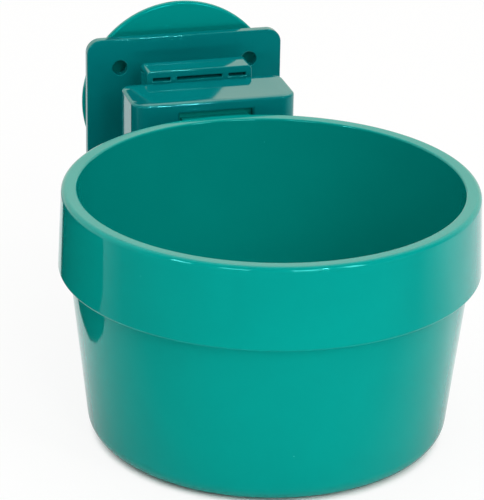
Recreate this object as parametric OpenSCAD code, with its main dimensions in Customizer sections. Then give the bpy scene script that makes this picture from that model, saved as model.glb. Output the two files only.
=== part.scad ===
// Small pet crock with a lift-off lock housing and a clamp-on cage bracket.
// Millimetres. The origin is the middle of the crock's foot, on the table.
// +Z is up and +Y runs from the crock back to the bracket.

/* [Crock] */
// Outer diameter of the rim
rim_d = 108; // [100:0.5:116]
// Height of the crock
crock_h = 67.6; // [60:0.2:76]
// Width of the rim's top
rim_w = 4; // [3.4:0.1:4.8]
// Fall of the rim's top towards the inside
rim_fall = 0.15; // [0.05:0.05:0.6]
// Rounding of the rim's outer edge
rim_round = 1.3; // [0.6:0.1:1.6]
// Height of the band under the rim
band_h = 21.7; // [19.5:0.1:24]
// Spread of the band from rim to lower edge, on the radius
band_flare = 0.95; // [0.3:0.05:1.4]
// Step from the band's lower edge in to the body
band_step = 2.85; // [1.8:0.05:3.4]
// Lean of the body's outside, in degrees
body_lean = 6.4; // [5:0.1:7.5]
// Lean of the inside wall, in degrees
inner_lean = 5.5; // [4.5:0.1:6.5]
// Rounding of the foot
foot_round = 5.5; // [3:0.1:7]
// Thickness of the floor
floor_t = 3.2; // [2.6:0.1:4.5]
// Fillet between floor and inside wall
floor_fillet = 8; // [4:0.5:12]
// Width of the ring that the crock stands on
stand_w = 5; // [3:0.5:9]
// Depth of the hollow inside that ring
stand_recess = 1.2; // [0.6:0.1:1.6]

/* [Tongue on the crock] */
// Width of the tongue's neck
tongue_w = 19.4; // [16:0.1:22]
// Tongue's top below the rim
tongue_drop = 1.6; // [0.4:0.1:2]
// Height of the neck
tongue_h = 17; // [13:0.5:18.5]
// Width of the head inside the housing
head_w = 28; // [25:0.5:34]
// Thickness of the head
head_t = 3; // [2:0.1:3.2]

/* [Lock housing] */
// Width of the housing
housing_w = 46.4; // [43:0.2:52]
// Depth of the housing, front to back
housing_d = 18.5; // [18:0.1:21]
// Height of the housing
housing_h = 30.6; // [29:0.2:33]
// Housing's top above the rim
housing_rise = 3; // [2.4:0.1:4.5]
// Gap between rim and housing
housing_gap = 2.4; // [1.6:0.1:4]
// Wall thickness
housing_wall = 2.2; // [1.6:0.1:2.4]
// Roof thickness
roof_t = 2; // [1.4:0.1:2.4]
// Corner radius at the front
front_corner = 4.5; // [3:0.1:6]
// Corner radius at the back
rear_corner = 3; // [1:0.1:4]
// Play beside the tongue in its slot
slot_play = 0.7; // [0.4:0.05:1]
// Room above the tongue in its slot
slot_rise = 1.7; // [0.4:0.1:2]
// Thickness of the channel arms that hold the rail
arm_t = 2.4; // [1.8:0.1:3]
// Top of the channel arms below the roof
arm_drop = 6; // [5:0.5:9]

/* [Bracket rail] */
// Width of the rail
rail_w = 30.4; // [29:0.2:33]
// Depth of the rail
rail_d = 8.1; // [7.6:0.1:10]
// Rail's top above the housing
rail_rise = 3; // [2:0.1:5]
// Gap between housing and rail
rail_gap = 0.8; // [0.4:0.1:1.4]
// Running play between rail and channel arms
run_play = 0.4; // [0.3:0.05:0.6]
// Side walls of the rail
rail_side = 1.8; // [1.4:0.1:2.2]
// Ribs between the slots
rail_rib = 2; // [1.6:0.1:2.4]
// Wall above the slots
rail_lip = 2.05; // [1.6:0.05:2.4]
// Wall behind the bolt's pocket
rail_back = 2; // [1.6:0.1:2.8]
// Height of the three slots in the rail's face
rail_slot_h = 0.85; // [0.5:0.05:1.2]
// Depth of those slots
rail_slot_d = 3; // [1:0.1:4]
// Width of the middle slot and of the bolt's pocket below it
pocket_w = 13; // [12.6:0.1:14]
// Rounding of the rail's top corners
rail_round = 1.2; // [0.6:0.1:1.6]
// Thickness of the foot that the channel rests on
stop_t = 2.6; // [2:0.1:2.9]
// Gap between that foot and the channel
stop_gap = 0.2; // [0.1:0.05:0.4]

/* [Bracket plate] */
// Distance from the rail back to the plate
standoff = 9.3; // [8:0.1:12]
// Width of the neck between rail and plate
neck_w = 18.8; // [16:0.2:20]
// Height of that neck
neck_h = 24; // [18:0.5:26]
// Width of the plate
plate_w = 57.15; // [52:0.05:64]
// Height of the plate
plate_h = 41.4; // [39:0.2:44]
// Thickness of the plate
plate_t = 2.8; // [2.2:0.1:4]
// Plate's top above the rail
plate_rise = 4.3; // [3:0.1:6]
// Corner radius of the plate
plate_corner = 4; // [2:0.1:6]
// Spacing of the screw holes, across
hole_pitch_x = 38.1; // [36:0.1:42]
// Spacing of the screw holes, up and down
hole_pitch_z = 24.3; // [22:0.1:27]
// Diameter of the screw holes
hole_d = 4.3; // [3.4:0.1:5]

/* [Cage clamp] */
// Diameter of the clamp bolt
bolt_d = 6.35; // [5:0.05:6.6]
// Length of the bolt under its head
bolt_l = 40; // [38:0.5:50]
// Width of the hexagon head across its flats
head_flats = 11.1; // [9:0.1:11.6]
// Thickness of the hexagon head
bolt_head_t = 4.4; // [3:0.1:5]
// How deep the head sits in its recess
head_seat = 2.7; // [1.5:0.1:3]
// Clearance round the bolt
bolt_play = 0.2; // [0.1:0.05:0.4]
// Gap between plate and disc as it stands
clamp_gap = 3.2; // [0.3:0.1:4]
// Diameter of the clamp disc
disc_d = 57.4; // [50:0.1:64]
// Thickness of the clamp disc
disc_t = 2.2; // [2:0.1:4]
// Rounding of the disc's edge
disc_round = 0.9; // [0.5:0.1:0.9]
// Diameter of the boss behind the disc
boss_d = 18; // [17:0.5:24]
// Height of that boss
boss_h = 4; // [2.5:0.1:5]
// Number of ribs behind the disc
rib_count = 8; // [4:1:10]
// Thickness of those ribs
rib_t = 1.8; // [1.4:0.1:2.4]
// Outer diameter of the washer
washer_d = 16; // [13:0.5:17]
// Thickness of the washer
washer_t = 1.2; // [0.8:0.1:2]
// Height of the wing nut's hub
nut_h = 7; // [5:0.1:9]
// Diameter of the hub at the washer
nut_d = 12.5; // [11:0.1:14]
// Span of the wings, tip to tip
wing_span = 31; // [26:0.5:38]
// Thickness of a wing
wing_t = 2.6; // [2:0.1:3.2]
// Running clearance between nut and bolt, on the radius
nut_play = 0.05; // [0.03:0.01:0.1]

/* [Lock lever] */
// Width of the lever's arm and hook
lever_w = 9; // [7:0.2:10]
// Thickness of the arm
lever_t = 2.4; // [2:0.1:2.6]
// Height of the pivot above the housing's lower edge
pivot_h = 12; // [11:0.1:13]
// Diameter of the pivot stubs
stub_d = 3.5; // [2.5:0.1:4]
// Running clearance round the stubs, on the radius
stub_play = 0.05; // [0.03:0.01:0.1]
// Thickness of the lugs that hold the stubs
lug_t = 2.5; // [2:0.1:3]
// How far the hook reaches into the rail
hook_reach = 2.2; // [1.6:0.1:2.3]
// Height of the hook
hook_h = 3.1; // [2.4:0.1:3.3]
// Play between the hook and the keeper above it
hook_play = 1.5; // [1.4:0.05:1.9]
// How far the thumb tab hangs below the housing
tab_drop = 4; // [3:0.1:5]
// Width of the thumb tab
tab_w = 14; // [11:0.5:16]

/* [Hidden] */
$fn = 64;
cut = 1; // overrun of every cutting tool
arc_steps = 8; // points on each rounded corner of an outline

crock_colour = "#02a097";
bracket_colour = "#017071";
disc_colour = "#017c76";
steel_colour = "#b9bcc0";

// Crock: radii and heights
rim_r = rim_d / 2;
inner_r = rim_r - rim_w;
band_z = crock_h - band_h;
band_r = rim_r + band_flare;
body_r = band_r - band_step;
foot_r = body_r - band_z * tan(body_lean);
brim_z = crock_h - rim_fall;
floor_r = inner_r - (brim_z - floor_t) * tan(inner_lean);
stand_r = foot_r - foot_round - stand_w;
edge_round = 0.8;

// Housing: faces, front to back and bottom to top
housing_y = rim_r + housing_gap;
housing_back = housing_y + housing_d;
housing_top = crock_h + housing_rise;
housing_z = housing_top - housing_h;
roof_z = housing_top - roof_t;
tongue_top = crock_h - tongue_drop;
tongue_z = tongue_top - tongue_h;
head_y = housing_y + housing_wall;
arm_top = roof_z - arm_drop;
arm_x = rail_w / 2 + run_play;
lip_x = neck_w / 2 + run_play;

// Rail and plate
rail_y = housing_back + rail_gap;
rail_back_y = rail_y + rail_d;
rail_top = housing_top + rail_rise;
stop_z = housing_z - stop_gap;
rail_z = stop_z - stop_t;
lip_y = rail_back_y + run_play;
plate_y = rail_back_y + standoff;
plate_back = plate_y + plate_t;
plate_top = rail_top + plate_rise;
bolt_z = plate_top - plate_h / 2;
pocket_d = rail_d - rail_back;
rail_slot_z = rail_top - rail_lip - rail_slot_h;
pocket_z = stop_z + rail_lip;

// Cage clamp, along the bolt
seat_y = rail_back_y - rail_back + head_seat;
disc_y = plate_back + clamp_gap;
boss_y = disc_y + disc_t;
washer_y = boss_y + boss_h;
nut_y = washer_y + washer_t;
bolt_hole_r = bolt_d / 2 + bolt_play;

// Lock lever, on its pivot inside the housing
pivot_z = housing_z + pivot_h;
swing_room = 3.2; // between the lever's arm and the housing's back wall
lever_y = housing_back - housing_wall - swing_room - lever_t;
pivot_y = lever_y + lever_t / 2;
keeper_drop = 2; // keeper's underside below the roof
keeper_z = roof_z - keeper_drop;
hook_top = keeper_z - hook_play;
hook_tip = rail_y + hook_reach;
barrel_wall = 1.25; // lever's barrel round the stubs
barrel_d = stub_d + 2 * barrel_wall;
barrel_side = 3; // barrel's length beyond the arm, on each side
lug_gap = 0.3; // side play of the lever between its lugs
lug_x = lever_w / 2 + barrel_side + lug_gap;
lug_wall = 2.5; // of the lugs, round the bores
window_play = 0.6; // room round the hook in the housing's back wall
hook_rise = 2.2; // room for the hook's lift as it draws back

function unit(v) = v / norm(v);

// One corner of an outline, p1, as an arc of radius r between its two sides
function corner(p0, p1, p2, r) =
    r <= 0 ? [p1] :
    let (u = unit(p0 - p1), v = unit(p2 - p1), half = acos(u * v) / 2)
    let (c = p1 + unit(u + v) * r / sin(half), s = p1 + u * r / tan(half), e = p1 + v * r / tan(half))
    let (a0 = atan2(s[1] - c[1], s[0] - c[0]), a1 = atan2(e[1] - c[1], e[0] - c[0]))
    let (sweep = (a1 - a0 + 900) % 360 - 180)
    [for (i = [0 : arc_steps]) let (a = a0 + sweep * i / arc_steps) c + r * [cos(a), sin(a)]];

// An outline from corner points [x, y, radius]
function rounded(points) =
    let (n = len(points), xy = [for (p = points) [p[0], p[1]]])
    [for (i = [0 : n - 1]) each corner(xy[(i + n - 1) % n], xy[i], xy[(i + 1) % n], points[i][2])];

// A box from its middle in X and its lowest Y and Z
module block(w, y, z, d, h) {
    translate([-w / 2, y, z]) cube([w, d, h]);
}

// A cylinder along +Y from y
module rod_y(d, y, l, sides = 64) {
    translate([0, y, 0]) rotate([-90, 0, 0]) cylinder(d = d, h = l, $fn = sides);
}

// A cylinder along X, centred
module rod_x(d, l) {
    rotate([0, 90, 0]) cylinder(d = d, h = l, center = true);
}

// A plate in the XZ plane with round corners, from y, drawn exactly
module round_plate(w, h, r, y, t) {
    translate([0, y + t, 0]) rotate([90, 0, 0]) linear_extrude(t) {
        square([w - 2 * r, h], center = true);
        square([w, h - 2 * r], center = true);
        for (sx = [-1, 1], sz = [-1, 1])
            translate([sx * (w / 2 - r), sz * (h / 2 - r)]) circle(r);
    }
}

// Both sides of a mirrored pair across the YZ plane
module both_sides() {
    children();
    mirror([1, 0, 0]) children();
}

// Round bowl with a banded rim, and the T-shaped tongue behind it
module crock_bowl() {
    outline = rounded([
        [0, stand_recess, 0],
        [stand_r, stand_recess, 0],
        [stand_r, 0, 0],
        [foot_r, 0, foot_round],
        [body_r, band_z, edge_round],
        [band_r, band_z, edge_round],
        [rim_r, crock_h, rim_round],
        [inner_r, brim_z, edge_round],
        [floor_r, floor_t, floor_fillet],
        [0, floor_t, 0]
    ]);
    color(crock_colour) {
        rotate_extrude($fn = 180) polygon(outline);
        tongue_root = rim_r - rim_w / 2;
        block(tongue_w, tongue_root, tongue_z, head_y + head_t - tongue_root, tongue_h);
        block(head_w, head_y, tongue_z, head_t, roof_z - tongue_z);
    }
}

// Plan of the housing, shrunk by a wall
module housing_plan(wall) {
    x = housing_w / 2 - wall;
    y0 = housing_y + wall;
    y1 = housing_back - wall;
    f = max(front_corner - wall, 0.1);
    r = max(rear_corner - wall, 0.1);
    both_sides() {
        translate([0, y0 + f]) square([x, y1 - y0 - f - r]);
        translate([0, y0]) square([x - f, f]);
        translate([0, y1 - r]) square([x - r, r]);
        translate([x - f, y0 + f]) circle(f);
        translate([x - r, y1 - r]) circle(r);
    }
}

// Open-bottomed box on the tongue, with channel arms behind it for the rail
module lock_housing() {
    slot_w = tongue_w + 2 * slot_play;
    slot_top = tongue_top + slot_rise;
    inner_back = housing_back - housing_wall;
    lug_h = stub_d + 2 * lug_wall;
    color(bracket_colour) difference() {
        union() {
            difference() {
                translate([0, 0, housing_z]) linear_extrude(housing_h) housing_plan(0);
                translate([0, 0, housing_z - cut])
                    linear_extrude(housing_h - roof_t + cut) housing_plan(housing_wall);
            }
            both_sides() {
                translate([arm_x, housing_back - housing_wall, housing_z])
                    cube([arm_t, lip_y + arm_t - housing_back + housing_wall, arm_top - housing_z]);
                translate([lip_x, lip_y, housing_z])
                    cube([arm_x + arm_t - lip_x, arm_t, arm_top - housing_z]);
                translate([lug_x, pivot_y - lug_h / 2, pivot_z - lug_h / 2])
                    cube([lug_t, inner_back - pivot_y + lug_h / 2, lug_h]);
            }
        }
        block(slot_w, housing_y - cut, housing_z - cut, housing_wall + 2 * cut, slot_top - housing_z + cut);
        block(lever_w + 2 * window_play, inner_back - cut, hook_top - hook_h - window_play,
              housing_wall + 2 * cut, hook_h + hook_rise + window_play);
        translate([0, pivot_y, pivot_z]) rod_x(stub_d + 2 * stub_play, 2 * (lug_x + lug_t) + cut);
    }
}

// Rocking lever inside the housing: hook above the pivot, thumb tab below it
module lock_lever() {
    tab_t = 3;
    color(crock_colour) {
        block(lever_w, lever_y, housing_z - tab_drop, lever_t, hook_top - housing_z + tab_drop);
        block(lever_w, lever_y, hook_top - hook_h, hook_tip - lever_y, hook_h);
        block(tab_w, lever_y - tab_t, housing_z - tab_drop, tab_t + lever_t, tab_drop - stop_gap);
        translate([0, pivot_y, pivot_z]) {
            rod_x(barrel_d, 2 * (lug_x - lug_gap));
            rod_x(stub_d, 2 * (lug_x + lug_t));
        }
    }
}

// Hexagon prism along +Y for the bolt's head and its recess
module hex_y(flats, y, l) {
    rod_y(flats / cos(30), y, l, 6);
}

// One moulding: screw plate, neck, and the slotted rail in front
module mount_bracket() {
    rail_h = rail_top - rail_z;
    side_w = rail_w / 2 - rail_side - rail_rib - pocket_w / 2;
    color(bracket_colour) difference() {
        union() {
            translate([0, 0, rail_z + rail_h / 2]) round_plate(rail_w, rail_h, rail_round, rail_y, rail_d);
            block(2 * (arm_x + arm_t), rail_y, rail_z, rail_d, stop_t);
            block(neck_w, rail_back_y - rail_back / 2, bolt_z - neck_h / 2, standoff + rail_back, neck_h);
            translate([0, 0, bolt_z]) round_plate(plate_w, plate_h, plate_corner, plate_y, plate_t);
        }
        both_sides()
            translate([pocket_w / 2 + rail_rib, rail_y - cut, rail_slot_z])
                cube([side_w, rail_slot_d + cut, rail_slot_h]);
        block(pocket_w, rail_y - cut, pocket_z, pocket_d + cut, keeper_z - pocket_z);
        block(pocket_w, rail_y - cut, rail_slot_z, rail_slot_d + cut, rail_slot_h);
        translate([0, 0, bolt_z]) {
            hex_y(head_flats + 2 * bolt_play, seat_y - head_seat - cut, head_seat + cut);
            rod_y(2 * bolt_hole_r, seat_y - cut, plate_back - seat_y + 2 * cut);
            for (sx = [-1, 1], sz = [-1, 1])
                translate([sx * hole_pitch_x / 2, 0, sz * hole_pitch_z / 2])
                    rod_y(hole_d, plate_y - cut, plate_t + 2 * cut);
        }
    }
}

// Hexagon bolt from the rail's pocket out through the plate
module clamp_bolt() {
    tip = 0.8;
    color(steel_colour) translate([0, 0, bolt_z]) {
        hex_y(head_flats, seat_y - bolt_head_t, bolt_head_t);
        rod_y(bolt_d, seat_y, bolt_l - tip);
        translate([0, seat_y + bolt_l - tip, 0]) rotate([-90, 0, 0])
            cylinder(d1 = bolt_d, d2 = bolt_d - 2 * tip, h = tip);
    }
}

// Round disc that presses the cage wires against the plate
module clamp_disc() {
    r = disc_d / 2;
    outline = rounded([
        [bolt_hole_r, 0, 0],
        [r, 0, disc_round],
        [r, disc_t, disc_round],
        [boss_d / 2, disc_t, 0],
        [boss_d / 2, disc_t + boss_h, 0],
        [bolt_hole_r, disc_t + boss_h, 0]
    ]);
    sink = 0.5; // of the ribs, into disc and boss
    rib_end = 3; // from the ribs to the flat's edge
    rib_l = r - disc_round - rib_end - boss_d / 2 + sink;
    color(disc_colour) translate([0, disc_y, bolt_z]) rotate([-90, 0, 0]) {
        rotate_extrude($fn = 128) polygon(outline);
        for (i = [0 : rib_count - 1])
            rotate([0, 0, i * 360 / rib_count])
                translate([boss_d / 2 - sink, -rib_t / 2, disc_t - sink])
                    cube([rib_l, rib_t, boss_h / 2 + sink]);
    }
}

// Plain washer on the boss
module flat_washer() {
    color(steel_colour) translate([0, 0, bolt_z]) difference() {
        rod_y(washer_d, washer_y, washer_t);
        rod_y(2 * bolt_hole_r, washer_y - cut, washer_t + 2 * cut);
    }
}

// Wing nut: tapered hub and two upright wings
module wing_nut() {
    taper = 1; // of the hub, on the radius
    lift = 1; // of the wings, off the washer
    root_x = nut_d / 2 - 2.5 * taper;
    ear_w = 5.5; // of a wing's upper edge
    ear_h = 5; // of a wing above the hub
    ear_round = 2;
    tip_x = wing_span / 2;
    wing = rounded([
        [root_x, lift, 0],
        [nut_d / 2 + taper, lift, 0],
        [tip_x, nut_h, ear_round],
        [tip_x - taper, nut_h + ear_h, 1.5 * ear_round],
        [tip_x - taper - ear_w, nut_h + ear_h, ear_round],
        [root_x, nut_h - taper, 0]
    ]);
    color(steel_colour) translate([0, nut_y, bolt_z]) rotate([-90, 0, 0]) difference() {
        union() {
            cylinder(d1 = nut_d, d2 = nut_d - 2 * taper, h = nut_h);
            for (turn = [0, 180])
                rotate([0, 0, turn]) translate([0, wing_t / 2, 0])
                    rotate([90, 0, 0]) linear_extrude(wing_t) polygon(wing);
        }
        translate([0, 0, -cut]) cylinder(r = bolt_d / 2 + nut_play, h = nut_h + 2 * cut);
    }
}

crock_bowl();
lock_housing();
lock_lever();
mount_bracket();
clamp_bolt();
clamp_disc();
flat_washer();
wing_nut();
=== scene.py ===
import math

import bmesh
import bpy
from mathutils import Matrix, Vector


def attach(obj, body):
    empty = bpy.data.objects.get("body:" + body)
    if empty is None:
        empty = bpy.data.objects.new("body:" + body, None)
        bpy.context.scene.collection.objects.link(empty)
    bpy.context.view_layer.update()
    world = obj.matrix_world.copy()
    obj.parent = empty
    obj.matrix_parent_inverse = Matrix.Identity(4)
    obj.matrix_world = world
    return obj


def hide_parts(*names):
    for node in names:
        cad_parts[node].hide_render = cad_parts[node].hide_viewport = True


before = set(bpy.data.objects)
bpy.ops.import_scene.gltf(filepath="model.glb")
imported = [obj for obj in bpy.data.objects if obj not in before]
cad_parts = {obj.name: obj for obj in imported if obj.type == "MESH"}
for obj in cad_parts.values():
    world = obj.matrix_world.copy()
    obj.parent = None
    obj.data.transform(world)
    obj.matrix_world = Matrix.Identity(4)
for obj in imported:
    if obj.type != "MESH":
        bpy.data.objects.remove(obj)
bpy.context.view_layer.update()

# Crock bowl
# One injection moulding in teal polystyrene: a bowl with a thick banded rim, a foot ring, and behind the band a
# T-shaped tongue that slides up into the lock housing. The wall is a turned profile, drawn here as the mould has it.
MM = 0.001
crock_profile = [  # radius, height and rounding of each corner, in mm, from the middle of the underside
    (0, 0.7, 0), (1.6, 0.7, 0.3), (2.0, 1.2, 0.2), (36.45, 1.2, 0.5), (36.45, 0, 0.4), (46.95, 0, 5.5),
    (52.1, 45.9, 0.8), (54.95, 45.9, 0.7), (54.0, 67.6, 1.3), (50.0, 67.45, 0.6), (43.81, 3.2, 8.0), (0, 3.2, 0)]
tongue_neck = (-9.7, 52.0, 49.0, 9.7, 61.6, 66.0)  # two opposite corners of each box
tongue_head = (-14.0, 58.6, 49.0, 14.0, 61.6, 68.6)


def rounded(corners, steps, longest):
    """Points along a profile whose corners are arcs, with straight runs cut into steps no longer than longest."""
    points = []
    for i, (x, z, radius) in enumerate(corners):
        here = Vector((x, z))
        if radius == 0 or i in (0, len(corners) - 1):
            arc = [here]
        else:
            to_last = (Vector(corners[i - 1][:2]) - here).normalized()
            to_next = (Vector(corners[i + 1][:2]) - here).normalized()
            half = to_last.angle(to_next) / 2
            centre = here + (to_last + to_next).normalized() * radius / math.sin(half)
            first = here + to_last * radius / math.tan(half) - centre
            last = here + to_next * radius / math.tan(half) - centre
            turn = first.angle_signed(last)
            arc = [centre + Matrix.Rotation(-turn * k / steps, 2) @ first for k in range(steps + 1)]
        if points:
            gap = arc[0] - points[-1]
            cuts = max(1, math.ceil(gap.length / longest))
            points += [points[-1] + gap * k / cuts for k in range(1, cuts)]
        points += arc
    return points


def turned(points, segments):
    """A closed body of revolution round Z from a profile in mm."""
    bm = bmesh.new()
    rings = []
    for x, z in points:
        if x < 1e-6:
            rings.append([bm.verts.new((0, 0, z * MM))] * segments)
        else:
            rings.append([bm.verts.new((x * MM * math.cos(a), x * MM * math.sin(a), z * MM))
                          for a in (2 * math.pi * k / segments for k in range(segments))])
    for low, high in zip(rings, rings[1:]):
        for k in range(segments):
            j = (k + 1) % segments
            corners = [low[k], low[j], high[j], high[k]]
            bm.faces.new(list(dict.fromkeys(corners)))
    bmesh.ops.recalc_face_normals(bm, faces=bm.faces)
    return bm


def block(bm, x0, y0, z0, x1, y1, z1):
    """Adds a box, given by its corners in mm."""
    verts = bmesh.ops.create_cube(bm, size=1)["verts"]
    size = Vector((x1 - x0, y1 - y0, z1 - z0))
    middle = Vector((x0 + x1, y0 + y1, z0 + z1)) / 2
    for v in verts:
        v.co = (middle + size * v.co) * MM


def soften(bm, radius):
    """Rounds the sharp outward edges of a body by a radius in mm."""
    sharp = [e for e in bm.edges if e.is_manifold and e.is_convex and e.calc_face_angle() > math.radians(32)]
    bmesh.ops.bevel(bm, geom=sharp, offset=radius * MM, offset_type="OFFSET", segments=3, profile=0.5,
                    affect="EDGES", clamp_overlap=False)


def piece(name, bm, material, body, replaced):
    """Turns a body into an object with smooth shading that moves with a CAD body in place of a CAD node."""
    mesh = bpy.data.meshes.new(name)
    bm.to_mesh(mesh)
    bm.free()
    mesh.materials.append(material)
    mesh.shade_smooth()
    mesh.set_sharp_from_angle(angle=math.radians(40))
    obj = bpy.data.objects.new(name, mesh)
    bpy.context.scene.collection.objects.link(obj)
    evened = obj.modifiers.new("even normals", "WEIGHTED_NORMAL")
    evened.keep_sharp = True
    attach(obj, body)
    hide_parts(replaced)


def joined(bm, other, operation):
    """The union or difference of two bodies."""
    objects = []
    for b in (bm, other):
        mesh = bpy.data.meshes.new("tool")
        b.to_mesh(mesh)
        b.free()
        objects.append(bpy.data.objects.new("tool", mesh))
        bpy.context.scene.collection.objects.link(objects[-1])
    cut = objects[0].modifiers.new("cut", "BOOLEAN")
    cut.operation, cut.object, cut.solver = operation, objects[1], "EXACT"
    done = bmesh.new()
    done.from_object(objects[0], bpy.context.evaluated_depsgraph_get())
    for obj in objects:
        bpy.data.objects.remove(obj)
    return done


def linear(colour):
    """Linear RGBA from an sRGB hex colour."""
    parts = [int(colour[i:i + 2], 16) / 255 for i in (1, 3, 5)]
    return [c / 12.92 if c <= 0.04045 else ((c + 0.055) / 1.055) ** 2.4 for c in parts] + [1.0]


def add(material, kind, sockets=(), **settings):
    """Adds a shader node with its settings, and sets or links its sockets."""
    tree = material.node_tree
    made = tree.nodes.new("ShaderNode" + kind)
    for key, value in settings.items():
        setattr(made, key, value)
    for key, value in dict(sockets).items():
        if isinstance(value, bpy.types.NodeSocket):
            tree.links.new(value, made.inputs[key])
        else:
            made.inputs[key].default_value = value
    return made


def blank(name):
    """A new material without nodes."""
    mat = bpy.data.materials.new(name)
    mat.use_nodes = True
    mat.node_tree.nodes.clear()
    return mat


def moulded_plastic(name, light, dark, roughness, red):
    """Gloss polystyrene from a polished mould. The colour drifts a little along the flow of the melt, the skin has
    the shallow waves of shrinkage, which bend reflections, and handling leaves fine scuffs and a few dust specks.
    The tint's red share is small where the deep teal lies outside the colours of a screen."""
    flow_mm, wave_mm, grain_mm, scuff_mm, speck_mm = 32, 9, 0.7, 5, 6  # spacing of each pattern
    dot_core, dot_edge, dot_share = 0.022, 0.034, 0.1  # radii by the specks' spacing, and how many places have one
    scuff_stretch = 0.18  # scuffs run up and down
    mat = blank(name)
    place = add(mat, "TexCoord").outputs["Object"]
    flow = add(mat, "TexNoise", {"Vector": place, "Scale": 1 / (flow_mm * MM), "Detail": 3.0, "Distortion": 0.6})
    specks = add(mat, "TexVoronoi", {"Vector": place, "Scale": 1 / (speck_mm * MM)})
    dot = add(mat, "MapRange", {"Value": specks.outputs["Distance"], "From Min": dot_core, "From Max": dot_edge,
                                "To Min": 1.0, "To Max": 0.0})
    few = add(mat, "SeparateColor", {"Color": specks.outputs["Color"]})
    rare = add(mat, "Math", {0: few.outputs["Red"], 1: 1 - dot_share}, operation="GREATER_THAN")
    dust = add(mat, "Math", {0: dot.outputs["Result"], 1: rare.outputs["Value"]}, operation="MULTIPLY")
    shade = add(mat, "Mix", {"Factor": flow.outputs["Fac"], "A": linear(dark), "B": linear(light)}, data_type="RGBA")
    dusted = add(mat, "Mix", {"Factor": dust.outputs["Value"], "A": shade.outputs["Result"], "B": linear("#3fb0a4")},
                 data_type="RGBA")
    stretched = add(mat, "Mapping", {"Vector": place, "Scale": (1.0, 1.0, scuff_stretch)})
    scuffs = add(mat, "TexNoise", {"Vector": stretched.outputs["Vector"], "Scale": 1 / (scuff_mm * MM), "Detail": 6.0,
                                   "Roughness": 0.65})
    gloss = add(mat, "MapRange", {"Value": scuffs.outputs["Fac"], "From Min": 0.3, "From Max": 0.75,
                                  "To Min": roughness[0], "To Max": roughness[1]})
    waves = add(mat, "TexNoise", {"Vector": place, "Scale": 1 / (wave_mm * MM), "Detail": 1.0})
    grain = add(mat, "TexNoise", {"Vector": place, "Scale": 1 / (grain_mm * MM), "Detail": 2.0})
    waved = add(mat, "Bump", {"Height": waves.outputs["Fac"], "Strength": 0.12, "Distance": 0.05 * MM})
    skin = add(mat, "Bump", {"Height": grain.outputs["Fac"], "Strength": 0.25, "Distance": 0.004 * MM,
                             "Normal": waved.outputs["Normal"]})
    surface = add(mat, "BsdfPrincipled", {
        "Base Color": dusted.outputs["Result"], "Roughness": gloss.outputs["Result"], "Normal": skin.outputs["Normal"],
        "IOR": 1.59, "Specular Tint": (red, 1.0, 0.98, 1.0)})
    add(mat, "OutputMaterial", {"Surface": surface.outputs["BSDF"]})
    return mat


crock_plastic = moulded_plastic("moulded polystyrene, teal gloss", "#01978e", "#008d85", (0.04, 0.10), 0.15)
bowl = turned(rounded(crock_profile, steps=10, longest=2.0), segments=256)
tongue = bmesh.new()
block(tongue, *tongue_neck)
head = bmesh.new()
block(head, *tongue_head)
tongue = joined(tongue, head, "UNION")
soften(tongue, 0.4)
bowl = joined(bowl, tongue, "UNION")
piece("crock", bowl, crock_plastic, "crock", "crock_bowl")

# Lock housing
# An open-bottomed box in a darker teal, moulded apart and pushed down over the crock's tongue. Its arms run behind
# the bracket's rail. Same polystyrene, with softly rounded edges and a roof that sank a little as it cooled.


def from_cad(node):
    """A copy of a CAD node as a closed body with one face for each flat."""
    bm = bmesh.new()
    bm.from_mesh(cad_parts[node].data)
    bmesh.ops.remove_doubles(bm, verts=bm.verts, dist=0.002 * MM)
    bmesh.ops.dissolve_limit(bm, angle_limit=math.radians(0.2), verts=bm.verts, edges=bm.edges)
    return bm


bracket_plastic = moulded_plastic("moulded polystyrene, dark teal gloss", "#017678", "#016e70", (0.025, 0.07), 0.15)
housing = from_cad("lock_housing")
soften(housing, 0.7)
roof_z, half_w, half_d, middle_y, sink = 70.6 * MM, 22.5 * MM, 8.55 * MM, 65.65 * MM, 0.1 * MM
strips, level_within = 10, 0.01 * MM
for normal, half, middle in (((1, 0, 0), half_w, 0), ((0, 1, 0), half_d, middle_y)):
    for k in range(1, strips):
        roof = [f for f in housing.faces
                if f.normal.z > 0.99 and abs(f.calc_center_median().z - roof_z) < level_within]
        around = dict.fromkeys(part for f in roof for part in (*f.edges, *f.verts))
        place = Vector(normal) * (middle + half * (2 * k / strips - 1))
        bmesh.ops.bisect_plane(housing, geom=roof + list(around), plane_co=place, plane_no=normal)
for v in housing.verts:
    across, along = v.co.x / half_w, (v.co.y - middle_y) / half_d
    if v.co.z > roof_z - level_within and max(abs(across), abs(along)) < 1:
        v.co.z -= sink * (1 - across ** 6) * (1 - along ** 2)
piece("housing", housing, bracket_plastic, "crock", "lock_housing")

# Lock lever
# A small rocking lever that hangs on its own stubs inside the housing: hook above, thumb tab below. It is moulded
# from the crock's plastic and snaps in between two lugs.
lever = from_cad("lock_lever")
soften(lever, 0.3)
piece("lever", lever, crock_plastic, "lever", "lock_lever")

# Cage bracket
# Screw plate, neck and rail in one moulding of the housing's plastic. Three narrow slots in the rail's face keep its
# walls thin, and the bolt's head lies in a deep pocket below them.
bracket = from_cad("mount_bracket")
soften(bracket, 0.35)
piece("bracket", bracket, bracket_plastic, "bracket", "mount_bracket")

# Clamp bolt
# A quarter-inch hexagon bolt with twenty threads to the inch, cold headed, rolled, zinc plated and bright. Its head
# is caught in the rail, so only the thread shows, behind the plate and beyond the nut.


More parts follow.
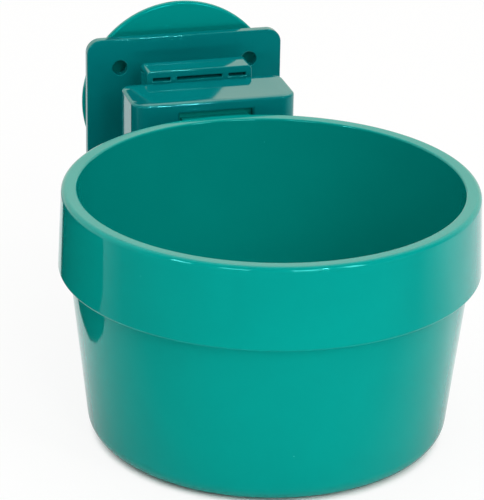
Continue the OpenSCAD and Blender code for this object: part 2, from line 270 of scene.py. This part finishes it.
def plated_steel(name, light, dark):
    """Zinc-plated steel: bright, slightly uneven in colour and gloss where the plating grew."""
    cloud_mm, grain_mm = 4, 0.5
    mat = blank(name)
    place = add(mat, "TexCoord").outputs["Object"]
    clouds = add(mat, "TexNoise", {"Vector": place, "Scale": 1 / (cloud_mm * MM), "Detail": 4.0})
    shade = add(mat, "Mix", {"Factor": clouds.outputs["Fac"], "A": linear(dark), "B": linear(light)}, data_type="RGBA")
    gloss = add(mat, "MapRange", {"Value": clouds.outputs["Fac"], "From Min": 0.3, "From Max": 0.7,
                                  "To Min": 0.24, "To Max": 0.4})
    grain = add(mat, "TexNoise", {"Vector": place, "Scale": 1 / (grain_mm * MM), "Detail": 3.0})
    skin = add(mat, "Bump", {"Height": grain.outputs["Fac"], "Strength": 0.2, "Distance": 0.02 * MM})
    surface = add(mat, "BsdfPrincipled", {
        "Base Color": shade.outputs["Result"], "Roughness": gloss.outputs["Result"], "Normal": skin.outputs["Normal"],
        "Metallic": 1.0})
    add(mat, "OutputMaterial", {"Surface": surface.outputs["BSDF"]})
    return mat


zinc_steel = plated_steel("steel, bright zinc plated", "#d5d8db", "#b4b9be")
bolt_z, major, minor, pitch = 57.2, 3.175, 2.45, 1.27  # height of the bolt, radii and pitch of its thread, in mm
head_r, head_y, seat_y, thread_y, tip_y = 6.409, 80.1, 84.5, 95.0, 124.5  # head over its corners, places along Y


def along_bolt(bm):
    """Turns a body from the Z axis onto the bolt's own line, which runs along Y."""
    bmesh.ops.transform(bm, matrix=Matrix.Translation((0, 0, bolt_z * MM)) @ Matrix.Rotation(-math.pi / 2, 4, "X"),
                        verts=bm.verts)


def thread(start, end, steps, rows):
    """A threaded rod from start to end, in mm: rows of points follow the helix and are clipped flat at both ends."""
    root, flank, tip_slope = 0.15, 0.6, 0.9  # root and flank as shares of half a pitch
    bm = bmesh.new()
    turns = math.ceil((end - start) / pitch) + 2
    grid = []
    for j in range(turns * rows):
        ring = []
        for i in range(steps):
            y = start + (j / rows - 1.5 + i / steps) * pitch
            y = min(max(y, start), end)
            rise = min(max((abs(j % rows / rows - 0.5) * 2 - root) / flank, 0), 1)
            radius = min(minor + (major - minor) * rise, minor + (end - y) * tip_slope, minor + (y - start))
            turn = 2 * math.pi * i / steps
            ring.append(bm.verts.new((radius * MM * math.cos(turn), -radius * MM * math.sin(turn), y * MM)))
        grid.append(ring)
    for j in range(len(grid) - 1):
        for i in range(steps - 1):
            bm.faces.new((grid[j][i], grid[j][i + 1], grid[j + 1][i + 1], grid[j + 1][i]))
        if j + rows + 1 < len(grid):
            bm.faces.new((grid[j][-1], grid[j + rows][0], grid[j + rows + 1][0], grid[j + 1][-1]))
    bmesh.ops.remove_doubles(bm, verts=bm.verts, dist=0.002 * MM)
    bmesh.ops.dissolve_degenerate(bm, edges=bm.edges, dist=0.002 * MM)
    bmesh.ops.holes_fill(bm, edges=[e for e in bm.edges if e.is_boundary], sides=0)
    bmesh.ops.recalc_face_normals(bm, faces=bm.faces)
    return bm


def rod(radius, start, end, sides):
    """A rod or prism along Z from start to end, in mm, with a corner or facet edge at +X."""
    bm = bmesh.new()
    bmesh.ops.create_cone(bm, cap_ends=True, segments=sides, radius1=radius * MM, radius2=radius * MM,
                          depth=(end - start) * MM, matrix=Matrix.Translation((0, 0, (start + end) / 2 * MM))
                          @ Matrix.Rotation(math.pi / 2, 4, "Z"))
    return bm


hexagon = rod(head_r, head_y, seat_y, sides=6)
soften(hexagon, 0.3)
shank = rod(major, seat_y - 0.2, thread_y + 0.4, sides=64)
bolt = joined(joined(hexagon, shank, "UNION"), thread(thread_y, tip_y, steps=48, rows=12), "UNION")
along_bolt(bolt)
piece("bolt", bolt, zinc_steel, "bracket", "clamp_bolt")

# Clamp disc
# A thin round moulding in a slightly lighter teal, with a boss and eight ribs behind. It slides on the bolt and
# presses cage wires against the plate. Its teal is the crock's own, set a little darker as painted shade.
# The crock's teal made a little darker: painted shade on the disc
disc_plastic_darkened_for_shade = moulded_plastic("moulded polystyrene, mid teal gloss", "#01908a", "#018882", (0.05, 0.11), 0.03)
disc = from_cad("clamp_disc")
soften(disc, 0.35)
piece("disc", disc, disc_plastic_darkened_for_shade, "clamp", "clamp_disc")

# Washer
# A plain stamped steel washer, zinc plated, with edges broken by tumbling. It lies loose on the bolt between boss
# and nut and spreads the nut's pressure.
washer = from_cad("flat_washer")
soften(washer, 0.2)
piece("washer", washer, zinc_steel, "clamp", "flat_washer")

# Wing nut
# A cast wing nut, zinc plated like the bolt, with rounded ears for finger and thumb. It runs on the bolt's thread
# and drives washer and disc toward the plate.
nut = from_cad("wing_nut")
soften(nut, 0.4)
piece("wing_nut_piece", nut, zinc_steel, "nut", "wing_nut")

# Studio
# White paper that glows plain white to the eye and in reflections, the glow fading out by ambient occlusion near the
# foot so that the paper's own lit shade shows there, a surround that is white behind and dim in front, a wide ceiling
# light, two tall softboxes and a low white board in front. The other lamps and three dark cards, at the left, behind
# and in front, are seen in reflections only; the one in front has a soft edge and is painted shade of the paper in
# front.

# Matt white paper with a painted white glow for the eye and for reflections; an ambient occlusion mask fades the glow
# near the foot, leaving the paper's own lit shade, so it is grey only within a few millimetres of the foot
floor_mat = blank("white paper")
ray = add(floor_mat, "LightPath")
straight = add(floor_mat, "Math", {0: ray.outputs["Is Camera Ray"], 1: ray.outputs["Is Transmission Ray"]},
               operation="MAXIMUM")
seen = add(floor_mat, "Math", {0: straight.outputs["Value"], 1: ray.outputs["Is Glossy Ray"]}, operation="MAXIMUM")
# The contact grey is the paper's real shade, shown where this occlusion mask takes away the painted white glow
near = add(floor_mat, "AmbientOcclusion", {"Distance": 3 * MM}, samples=8)
glow_away_from_foot = add(floor_mat, "MapRange", {"Value": near.outputs["AO"], "From Min": 0.1, "From Max": 0.6,
                                         "To Max": 0.88})
paper = add(floor_mat, "BsdfDiffuse", {"Color": linear("#fcfcf8")})
white = add(floor_mat, "Emission", {"Color": (1, 1, 1, 1), "Strength": 1.0})
share = add(floor_mat, "Math", {0: seen.outputs["Value"], 1: glow_away_from_foot.outputs["Result"]}, operation="MULTIPLY")
both = add(floor_mat, "MixShader", {0: share.outputs["Value"], 1: paper.outputs["BSDF"],
                                    2: white.outputs["Emission"]})
add(floor_mat, "OutputMaterial", {"Surface": both.outputs["Shader"]})


def sheet(name, corners, material):
    """A flat sheet of the studio, from its corners in metres."""
    mesh = bpy.data.meshes.new(name)
    mesh.from_pydata(corners, [], [range(len(corners))])
    mesh.materials.append(material)
    obj = bpy.data.objects.new(name, mesh)
    bpy.context.scene.collection.objects.link(obj)
    return obj


sheet("floor", [(x, y, -0.0002) for x, y in ((-6, -6), (6, -6), (6, 6), (-6, 6))], floor_mat)

# Matt black card, which gives the gloss its dark reflections; the soft one lies over the paper in front as painted
# shade of that paper, seen in reflections only, and fades out from front left to back right
card_black = linear("#101010")
card_mat = blank("black card")
card_face = add(card_mat, "BsdfDiffuse", {"Color": card_black})
add(card_mat, "OutputMaterial", {"Surface": card_face.outputs["BSDF"]})
# Painted shade of the paper in front, seen only in reflections: a soft-edged black card lying over it
front_shade_card_mat = blank("black card with a soft edge")
fade_along = (0.266, 0.964, 0)
depth = add(front_shade_card_mat, "VectorMath", {0: add(front_shade_card_mat, "NewGeometry").outputs["Position"], 1: fade_along},
            operation="DOT_PRODUCT")
cover = add(front_shade_card_mat, "MapRange", {"Value": depth.outputs["Value"], "From Min": -0.055, "From Max": 0.03,
                                   "To Min": 0.85, "To Max": 0.0})
clear = add(front_shade_card_mat, "BsdfTransparent")
black = add(front_shade_card_mat, "BsdfDiffuse", {"Color": card_black})
soft_face = add(front_shade_card_mat, "MixShader", {0: cover.outputs["Result"], 1: clear.outputs["BSDF"],
                                        2: black.outputs["BSDF"]})
add(front_shade_card_mat, "OutputMaterial", {"Surface": soft_face.outputs["Shader"]})
lying = ((-0.070, 0.069), (-0.077, 0.043), (-0.084, 0.033), (-0.095, 0.026), (-0.110, 0.027), (-0.175, 0.036),
         (-0.300, 0.110), (-0.300, 0.330), (-0.085, 0.330))
standing = ((0.022, 0.121), (0.073, 0.176), (0.022, 0.176))
front = ((-0.6, 0.23), (-0.6, -1.0), (0.6, -1.0), (0.6, -0.10))
for card in (sheet("card at the left", [(x, y, 0.0002) for x, y in lying], card_mat),
             sheet("card at the back", [(x, 0.300, z) for x, z in standing], card_mat),
             sheet("card in front", [(x, y, -0.0001) for x, y in front], front_shade_card_mat)):
    card.visible_camera = card.visible_diffuse = card.visible_shadow = False

# Plain white to the eye; reflections find it bright and warm behind, dim in front, and it lights the object a little
world = bpy.data.worlds.new("white surround")
bpy.context.scene.world = world
world.use_nodes = True
world.node_tree.nodes.clear()
ray = add(world, "LightPath")
straight = add(world, "Math", {0: ray.outputs["Is Camera Ray"], 1: ray.outputs["Is Transmission Ray"]},
               operation="MAXIMUM")
toward = add(world, "SeparateXYZ", {"Vector": add(world, "TexCoord").outputs["Generated"]})
behind = add(world, "MapRange", {"Value": toward.outputs["Y"], "From Min": -0.1, "From Max": 0.4,
                                 "To Min": 0.12, "To Max": 1.2})
mirrored = add(world, "MapRange", {"Value": ray.outputs["Is Glossy Ray"], "To Min": 0.22,
                                   "To Max": behind.outputs["Result"]})
level = add(world, "MapRange", {"Value": straight.outputs["Value"], "To Min": mirrored.outputs["Result"],
                                "To Max": 1.0})
tone = add(world, "Mix", {"Factor": ray.outputs["Is Glossy Ray"], "A": linear("#ffffff"), "B": linear("#fffbe6")},
           data_type="RGBA")
sky = add(world, "Background", {"Color": tone.outputs["Result"], "Strength": level.outputs["Result"]})
add(world, "OutputWorld", {"Surface": sky.outputs["Background"]})


def lamp(name, place, size, watts, lights=True, mirrored=True):
    """A rectangular soft lamp that faces the crock: place in metres, size as width and height."""
    aim = Vector((0, 0, 0.04))
    data = bpy.data.lights.new(name, "AREA")
    data.shape, data.size, data.size_y, data.energy = "RECTANGLE", size[0], size[1], watts
    obj = bpy.data.objects.new(name, data)
    bpy.context.scene.collection.objects.link(obj)
    obj.location = place
    obj.rotation_euler = (aim - Vector(place)).to_track_quat("-Z", "Y").to_euler()
    obj.visible_diffuse, obj.visible_glossy = lights, mirrored


lamp("ceiling", (0, 0, 1.5), (3.0, 3.0), 35.0, mirrored=False)
lamp("middle softbox", (0.060, -0.931, 0.59), (0.24, 0.40), 2.3)
lamp("right softbox", (0.476, -0.805, 0.59), (0.163, 0.50), 2.0)
lamp("low board", (-0.120, -1.190, 0.04), (0.60, 0.08), 3.0, mirrored=False)
lamp("left softbox", (-0.533, -0.770, 0.59), (0.26, 0.30), 1.5, lights=False)
lamp("far left softbox", (-0.861, -0.389, 0.59), (0.163, 0.15), 1.9, lights=False)
lamp("strip", (0.230, -0.720, 0.75), (0.010, 0.20), 1.5, lights=False)

# Camera
# The photograph's own view, found by fitting the crock's rims and the plate's edges: a long lens from the front left,
# a little above, with the picture rolled clockwise.
azimuth, elevation, roll = map(math.radians, (-15.382, 22.895, 1.078))
target, distance, lens_mm = Vector((-6.683, 3.099, 48.872)) * MM, 0.7, 193.825
back = Vector((math.sin(azimuth) * math.cos(elevation), -math.cos(azimuth) * math.cos(elevation),
               math.sin(elevation)))
level_right = Vector((math.cos(azimuth), math.sin(azimuth), 0))
level_up = back.cross(level_right)
right = level_right * math.cos(roll) + level_up * math.sin(roll)
up = level_up * math.cos(roll) - level_right * math.sin(roll)
camera = bpy.data.objects.new("camera", bpy.data.cameras.new("camera"))
bpy.context.scene.collection.objects.link(camera)
camera.matrix_world = Matrix.Translation(target + back * distance) @ Matrix((right, up, back)).transposed().to_4x4()
camera.data.lens, camera.data.sensor_width = lens_mm, 36
camera.data.clip_start, camera.data.clip_end = 0.01, 50
bpy.context.scene.camera = camera
bpy.context.scene.view_settings.view_transform = "Standard"
